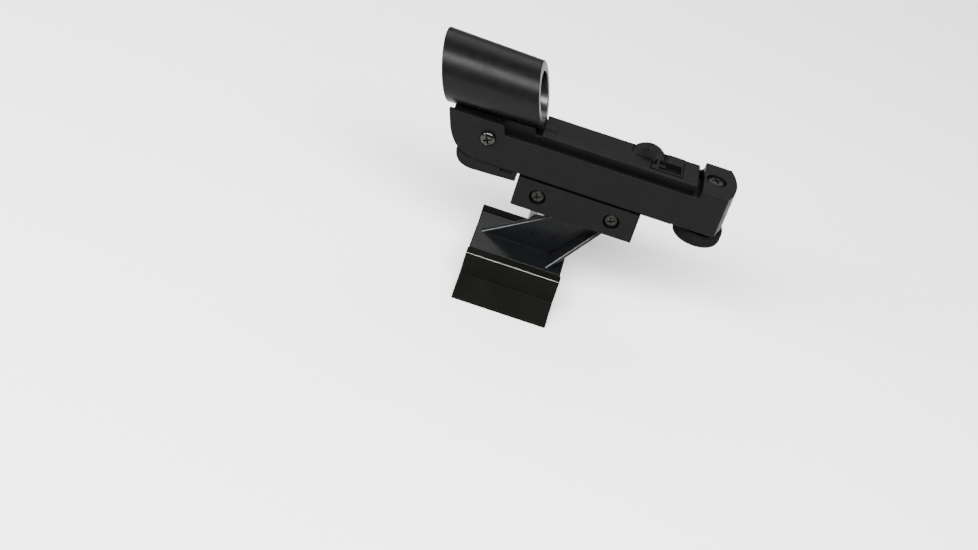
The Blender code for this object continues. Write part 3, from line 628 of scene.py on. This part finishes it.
def make_led_housing():
    """The lamp's open cradle, let into the rail behind the wheel."""
    housing = block("led_cradle", (CRADLE_FRONT, -6.3, 66.25), (54.0, 1.75, 68.85), 0.2)
    body = block("body", (43.35, -6.0, 64.55), (53.7, 1.5, 67.65), 0.1)
    wing = block("wing", (WING_X, 1.0, 67.25), (54.0, 8.2, 68.85), 0.2)
    merge(housing, body, wing)
    tools = [block("cut", (43.75, -5.6, 65.55), (53.3, 1.35, 70), 0.15),
             block("cut", (41.2, -3.0, 66.55), (42.7, 1.35, 70)),
             block("cut", (39.8, -4.0, 67.25), (41.8, 3.0, 70)),
             rod("cut", 1.2, (42.0, *LED), 2.8, "x")]
    carve(housing, *tools)
    dress(housing, "arm", "housing", "matte_black", "led_housing")


def make_wheel():
    """The brightness wheel: ribs run across its rim and on down its near face."""
    near, far = 2.6, 8.0
    shape = [(3.6, near, 0, 0), (4.0, near, 0, 0.05), (4.3, near + 0.05, 0, 0.26),
             (7.3, near + 1.1, 0.10, 0.26), (8.05, near + 1.7, 0.26, 0),
             (8.05, far - 0.25, 0.26, 0), (7.8, far, 0.1, 0)]
    groove = (0.0, 0.5, 1.0, 0.5)
    around = 58 * len(groove)
    bm = bmesh.new()
    rings = []
    for radius, across, notch, dip in shape:
        ring = []
        for i in range(around):
            depth = groove[i % len(groove)]
            angle = 2 * math.pi * i / around
            r = radius - notch * depth
            ring.append(bm.verts.new((WHEEL[0] + r * math.cos(angle), across + dip * depth,
                                      WHEEL[1] + r * math.sin(angle))))
        rings.append(ring)
    skin(bm, rings)
    bm.faces.new(rings[0])
    bm.faces.new(rings[-1])
    wheel = to_object("brightness_roller", bm)
    carve(wheel, rod("cut", 1.8, (WHEEL[0], 0, WHEEL[1]), 7.2, "y"))
    dress(wheel, "brightness_wheel", "housing", "matte_black", "brightness_wheel", angle=18,
          weighted=False)


# Clamp bracket, leg and shoe ---------------------------------------------------------------------

CLAMP_X = (0.45, 32.75)            # the clamp screws' places along the bracket, and their height
CLAMP_Z = 41.3
LEG_X = (18.5, 25.5)               # the leg screws' places
BRACKET_Y = 12.25
BRACKET_HIGH = 48.2


def make_bracket():
    """The bracket's main block and its far jaw, which close on the base's dovetail track."""
    low, high = node_box("clamp_bracket")
    outline = [(-BRACKET_Y, 34.3, 0.3), (BRACKET_Y, 34.3, 0.3), (BRACKET_Y, 36.1, 0.2),
               (7.8, 36.1, 0.3), (7.8, 44.9, 0.2), (-6.5, 44.9, 0.2), (-4.9, BRACKET_HIGH, 0.2),
               (-BRACKET_Y, BRACKET_HIGH, 0.3)]
    bracket = prism("clamp_block", fillet(outline, 0, 4), "yz", low.x, high.x, 0.22)
    outline = [(8.2, 36.5, 0.2), (BRACKET_Y, 36.5, 0.2), (BRACKET_Y, BRACKET_HIGH, 0.3),
               (4.9, BRACKET_HIGH, 0.2), (6.4, 45.2, 0.2), (8.2, 45.2, 0.3)]
    jaw = prism("clamp_jaw", fillet(outline, 0, 4), "yz", low.x, high.x, 0.22)
    for x in CLAMP_X:
        carve(bracket, rod("cut", 3.6, (x, -14.0, CLAMP_Z), 3.9, "y"),
              rod("cut", 1.9, (x, -14, CLAMP_Z), 30, "y"))
        carve(jaw, rod("cut", 1.9, (x, -14, CLAMP_Z), 30, "y"))
    for x in LEG_X:
        carve(bracket, rod("cut", 3.1, (x, 0, 41.7), 5, "z"), rod("cut", 1.7, (x, 0, 32), 12, "z"))
    dress(bracket, "bracket", "housing", "matte_black", "clamp_bracket")
    dress(jaw, "bracket", "housing", "matte_black", "far_jaw")


FOOT_TOP = 9.5
LEG_TOP = 34.0
LEG_FOOT = (12.65, FOOT_TOP)       # x and z of the flange's ends
LEG_HEAD = (32.8, LEG_TOP)


def make_flange():
    """The leg's leaning rear flange, which is wide at the foot and narrow at the head."""
    side = Vector((0, 1, 0))
    rise = Vector((LEG_HEAD[0] - LEG_FOOT[0], 0, LEG_HEAD[1] - LEG_FOOT[1]))
    height = rise.length - 0.6
    rise.normalize()
    normal = side.cross(rise)
    pose = Matrix((side, rise, normal)).transposed().to_4x4()
    pose.translation = Vector((LEG_FOOT[0], 0, LEG_FOOT[1])) + normal * 0.35
    outline = [(-13.6, -1.6), (13.6, -1.6), (3.4, height), (-3.4, height)]
    bm = prism_mesh(outline, "xy", 0, 1.5, 0.6, 5)
    bm.transform(pose)
    return to_object("flange", bm)


def make_leg():
    """A dovetailed foot, a thin web, the rear flange and a plate under the bracket, in one."""
    foot = [(-16.7, 2.7, 0.3), (16.7, 2.7, 0.3), (14.6, FOOT_TOP, 0.4), (-14.6, FOOT_TOP, 0.4)]
    leg = prism("leg_casting", fillet(foot, 0, 5), "yz", -20.15, 20.15, 0.35)
    web_outline = [(-20.1, 8.0), (11.65, 8.0), LEG_HEAD, (17.9, LEG_TOP)]
    web = prism("web", web_outline, "xz", -1.55, 1.55, 0.5, 5)
    plate = block("plate", (12.0, -7.0, 31.6), (37.0, 7.0, LEG_TOP), 0.2)
    merge(leg, web, make_flange(), plate)
    carve(leg, *[rod("cut", 1.27, (x, 0, 28), 8, "z") for x in LEG_X])
    dress(leg, "bracket", ["leg", "leg_painted_highlight"], "gloss_black", "bracket_leg")
    for polygon in leg.data.polygons:
        polygon.material_index = int(is_leg_highlight_edge(polygon))


def is_leg_highlight_edge(polygon):
    """The glossier roundings where the web's and flange's leaning faces meet their near sides,
    painted lighter as a highlight.
    """
    x, y, z = polygon.normal
    return y < -0.30 and x < -0.18 and 0.73 * z - 0.67 * x > 0.30 and polygon.center.z > 9.4 * MM


SADDLE_RADIUS = 57.0               # the hollow under the shoe, and half its width
SADDLE_HALF = 29.2
SADDLE_STEPS = 48
SHOE_LOW = -7.9
THUMB = (5.2, 5.4)                 # x and z of the thumbscrew's axis


def make_shoe():
    """The shoe: a hollowed base plate with two undercut rails, and a pocket for the clamp strip."""
    half = node_box("shoe")[1].x
    reach = math.asin(SADDLE_HALF / SADDLE_RADIUS)
    drop = SADDLE_RADIUS * math.cos(reach / 9) - 0.03
    under = []
    for i in range(SADDLE_STEPS + 1):
        angle = reach * (2 * i / SADDLE_STEPS - 1)
        under.append((SADDLE_RADIUS * math.sin(angle), SADDLE_RADIUS * math.cos(angle) - drop, 0))
    right = [(30.8, SHOE_LOW, 0.2), (30.8, SHOE_LOW + 1.35, 0.35), (20.1, -1.9, 0.3),
             (20.1, FOOT_TOP, 0.3), (15.5, FOOT_TOP, 0.3), (17.6, 2.3, 0.3)]
    outline = [(-30.8, SHOE_LOW, 0.2)] + under + right
    outline += [(-y, z, r) for y, z, r in reversed(right[1:])]
    shoe = prism("shoe_casting", fillet(outline, 0, 5), "yz", -half, half, 0.3)
    bm = prism_mesh([(-7.6, -1.3), (7.6, -1.3), (7.6, 1.3), (-7.6, 1.3)], "xy", -2.7, 2.7)
    lean = Matrix.Rotation(math.atan2(2.1, 7.2), 4, "X")
    bm.transform(Matrix.Translation((THUMB[0], 17.25, THUMB[1])) @ lean)
    carve(shoe, to_object("cut", bm), rod("cut", 2.2, (THUMB[0], 16.5, THUMB[1]), 6, "y"))
    for x in (-12.0, 12.0):
        sink = lathe("cut", [(0, 3), (3.6, 3), (1.9, 0.8), (1.9, -2), (0, -2)], "z", (x, 0, 0), 48)
        carve(shoe, sink)
    rail_edges = [p for p in shoe.data.polygons if is_rail_edge(p)]
    dress(shoe, "shoe", ["shoe", "rail_metal"], "shoe_black", "shoe")
    for polygon in rail_edges:
        polygon.material_index = 1


def is_rail_edge(polygon):
    """The rounded outer top edges of both rails, which take a light metal finish."""
    at = polygon.center / MM
    return abs(abs(at.y) - 20.04) < 0.05 and at.z > 9.1 and abs(polygon.normal.z) < 0.97


# Knobs and screws --------------------------------------------------------------------------------

def diamond_knob(name, radius, low, high, axis, place, count, body, look, slot, node, bore=2.3):
    """A diamond-knurled knob, chamfered at both ends, with a blind bore for its shaft.

    It runs along the axis from low to high, and count diamonds go round it.
    """
    bm = bmesh.new()
    around, along = count * 6, 18
    rings = []
    rise = (high - low) * count / (2 * math.pi * radius) / 2
    for k in range(along + 1):
        t = k / along
        lift = min(1.0, 6 * t, 6 * (1 - t))
        ring = []
        for i in range(around):
            turn = count * i / around
            left = abs((turn + rise * t) % 1 - 0.5) * 2
            right = abs((turn - rise * t) % 1 - 0.5) * 2
            r = radius - 0.55 + lift * (0.05 + 0.50 * min(left, right) ** 0.8)
            angle = 2 * math.pi * i / around
            height = low + t * (high - low)
            ring.append(bm.verts.new((r * math.cos(angle), r * math.sin(angle), height)))
        rings.append(ring)
    skin(bm, rings)
    bm.faces.new(rings[0][::-1])
    bm.faces.new(rings[-1])
    bm.transform(Matrix.Translation(place) @ TURN[axis])
    knob = to_object(name, bm)
    if bore:
        direction = TURN[axis].to_3x3() @ Vector((0, 0, 1))
        start = Vector(place) + direction * (low + 1.3)
        carve(knob, rod("cut", bore, start, high - low, axis, 0.0, 48))
    return dress(knob, body, look, slot, node, angle=50, weighted=False)


DOME = ((0, 1), (0.30, 0.985), (0.58, 0.90), (0.80, 0.72), (0.94, 0.45), (1, 0.16), (0.985, 0))
PITCH = 0.5
RECESS_TURN = Matrix.Rotation(math.radians(24), 3, "Z")


def cross_screw(name, node, axis, seat, head, height, shank, length, body, look, slot):
    """A cross-head screw: domed head with a tapered cross recess, and a ridged shank.

    head and shank are radii. The head rises by height from its seat, and the shank goes down from
    it by length.
    """
    profile = [(r * head, h * height) for r, h in DOME] + [(shank, 0)]
    for i in range(int(length / PITCH)):
        top = -i * PITCH
        profile += [(shank - 0.16, top - 0.25 * PITCH), (shank, top - 0.75 * PITCH)]
    profile += [(shank - 0.2, -length), (0, -length)]
    screw = lathe(name, profile, axis, seat, 72)
    arm, half = 0.60 * head, 0.105 * head
    plus = [(arm, half), (half, half), (half, arm), (-half, arm), (-half, half), (-arm, half),
            (-arm, -half), (-half, -half), (-half, -arm), (half, -arm), (half, -half), (arm, -half)]
    bm = bmesh.new()
    rings = []
    for z, scale in ((0.28 * height, 0.55), (1.4 * height, 1.22)):
        rings.append([bm.verts.new((u * scale, v * scale, z)) for u, v in plus])
    bm.faces.new(rings[0])
    bm.faces.new(rings[1])
    skin(bm, rings)
    bmesh.ops.rotate(bm, verts=bm.verts, cent=(0, 0, 0), matrix=RECESS_TURN)
    bm.transform(Matrix.Translation(seat) @ TURN[axis])
    carve(screw, to_object("cut", bm))
    dress(screw, body, look, slot, node, angle=30, weighted=False)


def make_screws():
    for x, node in zip(CLAMP_X, ("clamp_screw_front", "clamp_screw_rear")):
        cross_screw(node + "_detail", node, "-y", (x, -10.4, CLAMP_Z), 3.2, 1.5, 1.5, 22.0,
                    "bracket", "zinc", "steel")
    for x, node in zip(LEG_X, ("leg_screw_front", "leg_screw_rear")):
        cross_screw(node + "_detail", node, "z", (x, 0, 42.0), 2.7, 1.8, 1.3, 13.0,
                    "bracket", "oxide", "dark_steel")
    cross_screw("azimuth_screw_detail", "azimuth_retaining_screw", "-y",
                (PIVOT[0], -12.55, PIVOT[1]), 3.3, 1.7, 1.0, 6.0, "azimuth_knob", "glint", "steel")
    cross_screw("altitude_screw_detail", "altitude_retaining_screw", "z",
                (ALTITUDE_X, 0, 67.5), 3.8, 1.1, 1.0, 4.5, "altitude_knob", "oxide", "dark_steel")


def make_knobs():
    diamond_knob("altitude_dial", 10.5, 41.4, 47.3, "z", (ALTITUDE_X, 0, 0), 46,
                 "altitude_knob", "knob", "matte_black", "altitude_knob")
    diamond_knob("azimuth_dial", 8.0, -18.2, -12.9, "-y", (PIVOT[0], 0, PIVOT[1]), 38,
                 "azimuth_knob", "knob", "matte_black", "azimuth_knob")
    head = diamond_knob("thumbscrew_detail", 5.6, 24.5, 33.0, "y", (THUMB[0], 0, THUMB[1]), 30,
                        "thumbscrew", "nickel", "steel", "thumbscrew", bore=0)
    collar = rod("collar", 3.4, (THUMB[0], 23.0, THUMB[1]), 2.5, "y", 0.2)
    shank = rod("shank", 1.8, (THUMB[0], 18.6, THUMB[1]), 7, "y", 0.2)
    merge(head, collar, shank)


KEPT = {
    "steel": ("shoe_screw_front", "shoe_screw_rear", "altitude_spring", "azimuth_washer",
              "altitude_shaft", "azimuth_shaft", "wheel_shaft"),
    "brass": ("clamp_strip", "contact_plus", "contact_minus", "altitude_nut", "azimuth_nut"),
    "chrome": ("coin_cell",),
    "oxide": ("tube_screw",),
    "housing": ("arm_floor",),
    "knob": ("pinhole_mask", "potentiometer"),
    "led": ("led",),
    "board": ("circuit_board",),
}


def dress_kept():
    """The inner nodes keep their shapes and get finished materials."""
    for look, nodes in KEPT.items():
        for node in nodes:
            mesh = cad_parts[node].data
            mesh.materials.clear()
            mesh.materials.append(LOOKS[look])


# Stage -------------------------------------------------------------------------------------------

def make_floor():
    bm = bmesh.new()
    bmesh.ops.create_grid(bm, x_segments=1, y_segments=1, size=4000)
    floor = to_object("floor", bm)
    floor.location.z = CAD_BOX[0][2]
    g = Graph("pale_floor")
    g.link(g.mix(g.noise(400.0, 2), (0.86, 0.86, 0.86), (0.88, 0.88, 0.88)), "Base Color")
    g.set(Roughness=0.9, Specular_IOR_Level=0.0)
    floor.data.materials.append(g.material)


CENTRE = Vector((0.01, 0, 0.05))   # what the lights aim at, in metres


def softbox(name, offset, size, power):
    """A rectangular light that stands at an offset from the object and faces it."""
    data = bpy.data.lights.new(name, "AREA")
    data.shape = "RECTANGLE"
    data.size, data.size_y = size
    data.energy = power
    light = bpy.data.objects.new(name, data)
    SCENE.collection.objects.link(light)
    light.location = CENTRE + Vector(offset)
    light.rotation_euler = (CENTRE - light.location).to_track_quat("-Z", "Y").to_euler()


def make_lights():
    softbox("key_softbox", (0.0, -0.63, 0.78), (1.3, 0.34), 50)
    softbox("high_fill", (0.0, 1.1, 1.4), (2.0, 1.2), 32)
    softbox("front_side_softbox", (-0.95, -0.52, 0.48), (0.35, 0.35), 16)
    softbox("eye_side_softbox", (1.2, -0.3, 0.35), (0.6, 0.8), 1.2)
    world = bpy.data.worlds.new("studio")
    world.use_nodes = True
    background = world.node_tree.nodes["Background"]
    background.inputs["Color"].default_value = (1, 1, 1, 1)
    background.inputs["Strength"].default_value = 0.32
    SCENE.world = world


VIEW_ANGLES = (0.539, 35.170, 17.982)          # azimuth, elevation and roll, in degrees
VIEW_PLACE = (-0.003628, -0.542907, 0.370271)
SENSOR = 36
FOCAL_LENGTH = 1500 / 978 * SENSOR


def make_camera():
    azimuth, elevation, roll = (math.radians(a) for a in VIEW_ANGLES)
    aside = Vector((math.cos(azimuth), math.sin(azimuth), 0))
    ahead = Vector((-math.sin(azimuth), math.cos(azimuth), 0))
    level = Vector((0, 0, 1))
    up = math.sin(elevation) * ahead + math.cos(elevation) * level
    back = -math.cos(elevation) * ahead + math.sin(elevation) * level
    rolled_aside = math.cos(roll) * aside + math.sin(roll) * up
    rolled_up = -math.sin(roll) * aside + math.cos(roll) * up
    data = bpy.data.cameras.new("camera")
    data.lens = FOCAL_LENGTH
    data.sensor_width = SENSOR
    data.clip_start = 0.01
    camera = bpy.data.objects.new("camera", data)
    SCENE.collection.objects.link(camera)
    camera.matrix_world = Matrix((rolled_aside, rolled_up, back)).transposed().to_4x4()
    camera.location = VIEW_PLACE
    SCENE.camera = camera


make_tube()
make_lens()
make_base()
make_cover()
make_arm()
make_led_housing()
make_wheel()
make_bracket()
make_leg()
make_shoe()
make_knobs()
make_screws()
dress_kept()
make_floor()
make_lights()
make_camera()
